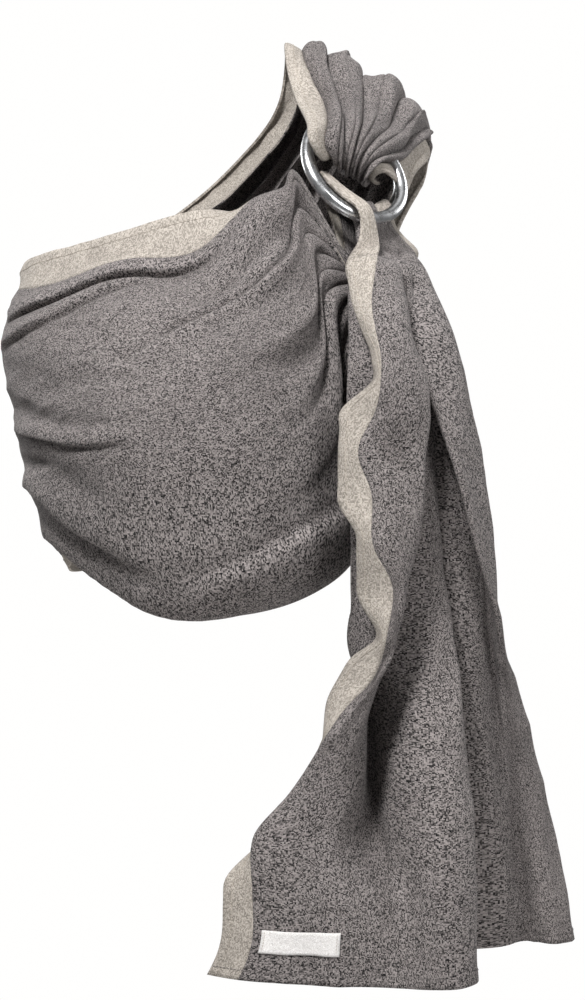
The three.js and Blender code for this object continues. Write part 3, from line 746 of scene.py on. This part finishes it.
def cloth_material(name, dark, light, pitch, slub, crest_wear_and_highlight, sheen):
    """Plain-woven melange cloth. Every crossing shows more of its dark warp or of its pale weft, and
    both yarns have short thick places."""
    n = Nodes(name)
    uv = n.node("ShaderNodeUVMap", uv_map="weave").outputs[0]
    place = n.node("ShaderNodeSeparateXYZ")
    n.feed(place.inputs[0], uv)
    object_place = n.node("ShaderNodeTexCoord").outputs["Object"]
    # The yarns waver slightly, so that they are never ruled lines.
    drift = n.math("MULTIPLY", n.noise(uv, 60.0, 2.0), 1.6)
    u = n.math("ADD", n.math("DIVIDE", place.outputs[0], pitch), drift)
    v = n.math("ADD", n.math("DIVIDE", place.outputs[1], pitch), drift)
    crossing = n.node("ShaderNodeTexWhiteNoise", noise_dimensions="2D")
    n.feed(crossing.inputs["Vector"], n.combine(n.math("FLOOR", u), n.math("FLOOR", v)))
    warp_slub = n.noise(n.combine(u, n.math("MULTIPLY", v, 0.2)), 1.5, 3.0, 0.7)
    weft_slub = n.noise(n.combine(n.math("MULTIPLY", u, 0.2), n.math("ADD", v, 40.0)), 1.5, 3.0, 0.7)
    fibre = n.noise(n.combine(u, v), 2.1, 2.0, 0.8)
    tone = n.math("MULTIPLY", n.math("SUBTRACT", crossing.outputs["Value"], 0.5), 1.25)
    tone = n.math("ADD", tone, n.math("MULTIPLY", n.math("SUBTRACT", weft_slub, 0.5), 1.5 * slub))
    tone = n.math("SUBTRACT", tone, n.math("MULTIPLY", n.math("SUBTRACT", warp_slub, 0.5), 1.2 * slub))
    tone = n.math("ADD", tone, n.math("MULTIPLY", n.math("SUBTRACT", fibre, 0.5), 0.5))
    colour = n.mix(n.math("ADD", tone, 0.5), dark, light)
    # Slow changes of tone over the cloth, paler crests that are partly wear and partly a painted highlight,
    # paler worn edges, and painted shade that darkens the valleys.
    slow = n.noise(object_place, 11.0, 3.0, 0.55)
    colour = n.tinted(1.0, colour, n.mix(slow, (0.86, 0.855, 0.86, 1), (1.14, 1.14, 1.135, 1)))
    crest = n.attribute("crest")
    # Painted highlight, partly wear: the crests of the folds are made paler.
    colour = n.tinted(n.ramp(crest, 0.15, 0.9, 0.0, crest_wear_and_highlight), colour, (1.3, 1.3, 1.3, 1))
    # Painted shade: the valleys of the folds are made darker.
    colour = n.tinted(n.ramp(crest, -0.2, -1.0, 0.0, 0.6), colour, (0.6, 0.59, 0.59, 1))
    colour = n.tinted(n.ramp(n.attribute("edge"), 0.0, 1.4, 0.35, 0.0), colour, (1.22, 1.2, 1.18, 1))
    n.feed(n.shader.inputs["Base Color"], colour)
    n.feed(n.shader.inputs["Roughness"], n.ramp(fibre, 0.25, 0.75, 0.82, 0.98))
    n.shader.inputs["Specular IOR Level"].default_value = 0.2
    n.shader.inputs["Sheen Weight"].default_value = sheen
    n.shader.inputs["Sheen Roughness"].default_value = 0.55
    # Each crossing stands up as a small round knuckle of yarn.
    warp_round = n.math("SINE", n.math("MULTIPLY", n.math("FRACT", u), math.pi))
    weft_round = n.math("SINE", n.math("MULTIPLY", n.math("FRACT", v), math.pi))
    knuckle = n.math("MULTIPLY", n.math("MULTIPLY", warp_round, weft_round), crossing.outputs["Value"])
    relief = n.math("ADD", n.math("MULTIPLY", weft_slub, 1.6), n.math("MULTIPLY", fibre, 0.6))
    height = n.math("ADD", knuckle, relief)
    pucker = n.noise(n.combine(place.outputs[0], place.outputs[1]), 120.0, 3.0, 0.6)
    # Soft creases left from folding and wearing.
    rumple = n.noise(object_place, 30.0, 4.0, 0.6)
    crease = n.bump(rumple, 0.6, 0.006)
    soft = n.bump(pucker, 0.4, 0.0014, crease)
    n.feed(n.shader.inputs["Normal"], n.bump(height, 0.8, 0.0003, soft))
    return n.material


def metal_material(name):
    """Polished aluminium with fine turning marks and small rubs."""
    n = Nodes(name)
    uv = n.node("ShaderNodeUVMap", uv_map="weave").outputs[0]
    place = n.node("ShaderNodeSeparateXYZ")
    n.feed(place.inputs[0], uv)
    around, across = (n.math("MULTIPLY", place.outputs[k], scale) for k, scale in ((0, 30.0), (1, 1800.0)))
    marks = n.noise(n.combine(around, across), 1.0, 3.0, 0.6)
    rubs = n.noise(n.node("ShaderNodeTexCoord").outputs["Object"], 160.0, 4.0, 0.6)
    n.feed(n.shader.inputs["Base Color"], n.mix(rubs, linear(196, 197, 199), linear(228, 229, 231)))
    n.shader.inputs["Metallic"].default_value = 1.0
    n.feed(n.shader.inputs["Roughness"], n.math("ADD", n.ramp(rubs, 0.35, 0.75, 0.2, 0.36),
                                                n.math("MULTIPLY", marks, 0.06)))
    n.feed(n.shader.inputs["Normal"], n.bump(marks, 0.12, 0.00006))
    return n.material


def thread_material(name, dark, light):
    """Twisted sewing thread."""
    n = Nodes(name)
    place = n.node("ShaderNodeTexCoord").outputs["Object"]
    twist = n.noise(place, 2600.0, 2.0, 0.6)
    n.feed(n.shader.inputs["Base Color"], n.mix(n.ramp(twist, 0.3, 0.7), dark, light))
    n.feed(n.shader.inputs["Roughness"], n.ramp(twist, 0.3, 0.7, 0.6, 0.85))
    n.feed(n.shader.inputs["Normal"], n.bump(twist, 0.4, 0.0001))
    return n.material


charcoal = cloth_material("charcoal_weave", linear(10, 9, 10), linear(148, 141, 139),
                          pitch=0.00086, slub=1.15, crest_wear_and_highlight=0.2, sheen=0.05)
natural_linen = cloth_material("natural_weave", linear(128, 122, 114), linear(182, 174, 165),
                               pitch=0.001, slub=0.9, crest_wear_and_highlight=0.2, sheen=0.06)
label_weave = cloth_material("label_weave", linear(214, 210, 207), linear(246, 244, 242),
                             pitch=0.0005, slub=0.4, crest_wear_and_highlight=0.15, sheen=0.1)
metal = metal_material("ring_aluminium")
border_thread = thread_material("border_thread", linear(150, 140, 128), linear(196, 187, 175))
cloth_thread = thread_material("cloth_thread", linear(62, 58, 58), linear(120, 114, 112))

# ---- Cloth pieces ----


def edge_distance(grid):
    """Distance in millimetres from each point to the cloth's nearer long edge."""
    across = np.linalg.norm(np.diff(grid, axis=1), axis=2)
    across = np.concatenate([np.zeros((len(grid), 1)), np.cumsum(across, axis=1)], axis=1)
    return np.minimum(across, across[:, -1:] - across)


class Sheet:
    """One stretch of cloth as a grid, from which pieces are cut by columns and rows."""

    def __init__(self, grid, shares, sign=1.0, hem_at_end=False):
        self.grid = grid
        self.normal = normals_of(grid) * sign
        self.uv = cloth_uv(grid, shares, CLOTH_WIDTH)
        self.edge = edge_distance(grid)
        self.hem = self.edge.copy()
        if hem_at_end:
            down = np.linalg.norm(np.diff(grid, axis=0), axis=2)
            below = np.concatenate([np.cumsum(down[::-1], axis=0)[::-1], np.zeros((1, grid.shape[1]))])
            self.hem = np.minimum(self.hem, below)
        # The turned hem is three plies thick, with a soft shoulder at its stitching.
        ply = 0.5 * CLOTH_THICKNESS
        self.half = ply * (1 + 0.75 * (1 - smooth(HEM_WIDTH - 0.4, HEM_WIDTH + 0.9, self.hem)))
        self.crest = crests(grid, self.normal)

    def cut(self, name, material, slot, rows=slice(None), columns=slice(None)):
        pick = (rows, columns)
        attributes = {"crest": self.crest[pick], "edge": self.hem[pick]}
        obj = cloth_object(name, self.grid[pick], self.normal[pick], self.half[pick], self.uv[pick],
                           material, attributes)
        return obj

    def outer(self, lift):
        """The sheet's outer face, `lift` above its surface."""
        return self.grid + self.normal * (self.half[..., None] + lift)

    def line(self, distance, left, rows=slice(None), lift=0.25):
        """A line of points on the outer face, `distance` in from one long edge."""
        found = []
        outer = self.outer(lift)
        for r in range(*rows.indices(len(self.grid))):
            run = lengths(self.grid[r])
            at = distance if left else run[-1] - distance
            found.append(read(at, run, outer[r]))
        return np.array(found)


left = slice(0, BORDER_COLUMNS + 1)
middle = slice(BORDER_COLUMNS, -BORDER_COLUMNS)
right = slice(-BORDER_COLUMNS - 1, None)

loop_sheet = Sheet(loop, SHARES)
loop_cloth = loop_sheet.cut("loop_cloth", charcoal, "charcoal_cloth", columns=middle)
neck_border = loop_sheet.cut("loop_neck_border", natural_linen, "natural_border", columns=left)
arm_border = loop_sheet.cut("loop_arm_border", natural_linen, "natural_border", columns=right)
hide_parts("shoulder_pleat_1", "shoulder_pleat_2", "shoulder_pleat_3", "shoulder_pleat_4",
            "ring_pocket", "ring_turn", "pouch_gather", "back_upper_panel", "back_lower_panel", "side_wrap",
            "pouch_upper_panel", "pouch_seat_panel", "pouch_lower_panel")
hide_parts("shoulder_neck_border", "back_top_border", "pouch_top_border")
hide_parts("shoulder_arm_border", "back_bottom_border", "pouch_bottom_border")
neck_stitches = stitches("neck_border_stitching", loop_sheet.line(HEM_WIDTH, True), border_thread)
arm_stitches = stitches("arm_border_stitching", loop_sheet.line(HEM_WIDTH, False), border_thread)
for piece in (loop_cloth, neck_border, arm_border, neck_stitches, arm_stitches):
    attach(piece, "sling_loop")

tail_sheet = Sheet(tail, TAIL_SHARES, sign=-1.0, hem_at_end=True)
split_row = int(np.argmin(np.abs(tail[:, tail.shape[1] // 2, 2] - TAIL_SPLIT)))
upper, lower = slice(0, split_row + 1), slice(split_row, None)
neck_cloth = tail_sheet.cut("tail_neck_cloth", charcoal, "charcoal_cloth", upper, middle)
neck_left = tail_sheet.cut("tail_neck_left_border", natural_linen, "natural_border", upper, left)
neck_right = tail_sheet.cut("tail_neck_right_border", natural_linen, "natural_border", upper, right)
tail_cloth = tail_sheet.cut("tail_cloth", charcoal, "charcoal_cloth", lower, middle)
tail_left = tail_sheet.cut("tail_left_ribbon", natural_linen, "natural_border", lower, left)
tail_right = tail_sheet.cut("tail_right_ribbon", natural_linen, "natural_border", lower, right)
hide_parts("tail_neck")
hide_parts("tail_front_panel", "tail_inner_fold", "tail_outer_panel", "tail_hem")
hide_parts("tail_left_border")
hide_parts("tail_right_border")
neck_stitch = stitches("tail_neck_border_stitching", tail_sheet.line(HEM_WIDTH, True, upper), border_thread)
left_stitch = stitches("tail_left_stitching", tail_sheet.line(HEM_WIDTH, True, lower), border_thread)
right_stitch = stitches("tail_right_stitching", tail_sheet.line(HEM_WIDTH, False, lower), border_thread)


def hem_line(distance, lift=0.25):
    """A line across the tail's outer face, `distance` up from its bottom hem."""
    outer, upward = tail_sheet.outer(lift)[::-1], tail_sheet.grid[::-1]
    return np.array([read(distance, lengths(upward[:, c]), outer[:, c]) for c in range(tail.shape[1])])


hem_stitch = stitches("tail_hem_stitch_line", hem_line(HEM_WIDTH + 0.3), cloth_thread)
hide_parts("tail_hem_stitching")
# The neck pieces, which turn from the loop to the hanging end, have their placing baked into their meshes.
for piece in (neck_cloth, neck_left, neck_right, neck_stitch):
    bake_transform(piece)


def hang(*pieces):
    """Bake the placing of pieces of the hanging end into their meshes."""
    for piece in pieces:
        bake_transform(piece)


hang(tail_cloth, tail_left, tail_right, left_stitch, right_stitch, hem_stitch)

# ---- Label ----
LABEL_SIZE = (58.0, 17.0)
LABEL_CELLS = (8, 24)
LABEL_UP = 22.0  # from the hem to the label's lower edge
LABEL_IN = BORDER_WIDTH + 3.0  # from the cloth's left edge to the label's left end
ROWS_BY_HEM = 30  # enough of the tail's last rows to hold the label


def label_grid(lift):
    """The label's own patch, laid on the tail just inside its left border and above its hem."""
    ups = np.linspace(LABEL_UP + LABEL_SIZE[1], LABEL_UP, LABEL_CELLS[0] + 1)
    ins = LABEL_IN + np.linspace(0, LABEL_SIZE[0], LABEL_CELLS[1] + 1)
    half_way = tail.shape[1] // 2
    run_in = tail_sheet.edge[-10, :half_way]
    outer = tail_sheet.outer(lift)[-ROWS_BY_HEM:, :half_way]
    upward = np.array([read(ins, run_in, row) for row in outer])[::-1]
    return np.stack([read(ups, lengths(upward[:, j]), upward[:, j]) for j in range(len(ins))], 1)


label = label_grid(0.9)
label_normal = normals_of(label) * -1.0
label_half = np.full(label.shape[:2], 0.35)
label_half[:, :2] = label_half[:, -2:] = 0.55
label_uv = cloth_uv(label, np.linspace(0, 1, LABEL_CELLS[1] + 1), LABEL_SIZE[0])
plain = np.zeros(label.shape[:2])
label_piece = cloth_object("tail_label", label, label_normal, label_half, label_uv, label_weave,
                           {"crest": plain, "edge": plain + 9})
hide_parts("label")
hang(label_piece)
for end, column in (("left", 1), ("right", -2)):
    seam = label[:, column] + label_normal[:, column] * 0.7
    hang(stitches(f"label_stitching_{end}", seam, border_thread, 2.4, 1.7, 0.2))

# ---- Rings ----


def ring_piece(name, centre, axis, body, node):
    """A plain round ring of solid wire, smooth all the way round."""
    around, sides = 192, 40
    u = 2 * np.pi * np.arange(around + 1) / around
    v = 2 * np.pi * np.arange(sides + 1) / sides
    first = np.cross(axis, [0, 0, 1.0])
    first /= np.linalg.norm(first)
    second = np.cross(axis, first)
    radial = np.cos(u)[:, None] * first + np.sin(u)[:, None] * second
    grid = centre + radial[:, None] * (RING_RADIUS + WIRE_RADIUS * np.cos(v)[None, :, None])
    grid = grid + axis * WIRE_RADIUS * np.sin(v)[None, :, None]
    uv = np.stack(np.broadcast_arrays(u[:, None] * RING_RADIUS * MM, v[None] * WIRE_RADIUS * MM), 2)
    faces = quads(around + 1, sides + 1).tolist()
    obj = mesh_object(name, grid.reshape(-1, 3), faces, metal, uv.reshape(-1, 2))
    obj.modifiers.new("weld", "WELD").merge_threshold = 1e-6
    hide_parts(node)
    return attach(obj, body)


lower_ring = ring_piece("sling_ring_lower", RING_CENTRE, OUT, "lower_ring", "lower_ring")
upper_ring = ring_piece("sling_ring_upper", UPPER_CENTRE, UPPER_AXIS, "upper_ring", "upper_ring")

# ---- Pocket stitching ----
POCKET_ROWS = {1: 6.0, 2: 11.0}  # each row's distance from the sewn end
for number, at in POCKET_ROWS.items():
    line = loop_sheet.outer(0.25)[np.searchsorted(rows_at, at)]
    row = stitches(f"pocket_stitching_{number}", line, cloth_thread, 3.4, 2.6, 0.3)
    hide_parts(f"pocket_stitch_row_{number}")
    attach(row, "sling_loop")

# ---- Camera, light and floor ----
camera = bpy.data.cameras.new("camera")
camera.lens, camera.sensor_width, camera.sensor_fit = 64.3, 36, "AUTO"
viewer = bpy.data.objects.new("camera", camera)
viewer.location = (-0.055, -1.5, -0.34)
viewer.rotation_euler = (math.radians(90), 0, 0)
bpy.context.scene.collection.objects.link(viewer)
bpy.context.scene.camera = viewer

SUBJECT = Vector((-0.05, -0.08, -0.33))


def soft_light(name, place, size, power):
    """A square area light aimed at the sling, its side in metres and its power in watts."""
    data = bpy.data.lights.new(name, "AREA")
    data.size, data.energy = size, power
    obj = bpy.data.objects.new(name, data)
    obj.location = place
    obj.rotation_euler = (SUBJECT - Vector(place)).to_track_quat("-Z", "Y").to_euler()
    bpy.context.scene.collection.objects.link(obj)


soft_light("key", (-0.65, -1.5, 1.3), 0.5, 72)
soft_light("fill", (1.3, -1.9, 0.5), 0.8, 25)
soft_light("back_left", (-1.8, 1.6, 0.6), 1.2, 22)
soft_light("back_right", (1.9, 1.0, 0.8), 1.2, 26)
soft_light("top", (0.1, -0.1, 2.0), 1.4, 3)
world = bpy.data.worlds.new("studio")
bpy.context.scene.world = world
world.use_nodes = True
background = world.node_tree.nodes["Background"]
background.inputs[0].default_value = (1.0, 0.997, 0.99, 1)
# The backdrop is white to the camera and lights the cloth more gently.
seen = world.node_tree.nodes.new("ShaderNodeLightPath")
strength = world.node_tree.nodes.new("ShaderNodeMapRange")
strength.inputs[3].default_value, strength.inputs[4].default_value = 0.17, 1.0
world.node_tree.links.new(seen.outputs["Is Camera Ray"], strength.inputs[0])
world.node_tree.links.new(strength.outputs[0], background.inputs[1])
bpy.context.scene.view_settings.view_transform = "Standard"

# A round pale floor at the height where a wearer would stand.
FLOOR_RADIUS = 1200.0
FLOOR_HEIGHT = -1300.0
FLOOR_SIDES = 96
around = 2 * np.pi * np.arange(FLOOR_SIDES) / FLOOR_SIDES
rim = np.column_stack([
    FLOOR_RADIUS * np.cos(around), FLOOR_RADIUS * np.sin(around), np.full(FLOOR_SIDES, FLOOR_HEIGHT)])
pale = Nodes("pale_floor")
pale.shader.inputs["Base Color"].default_value = (0.86, 0.855, 0.845, 1)
pale.shader.inputs["Roughness"].default_value = 0.9
mesh_object("floor", rim, [list(range(FLOOR_SIDES))], pale.material)
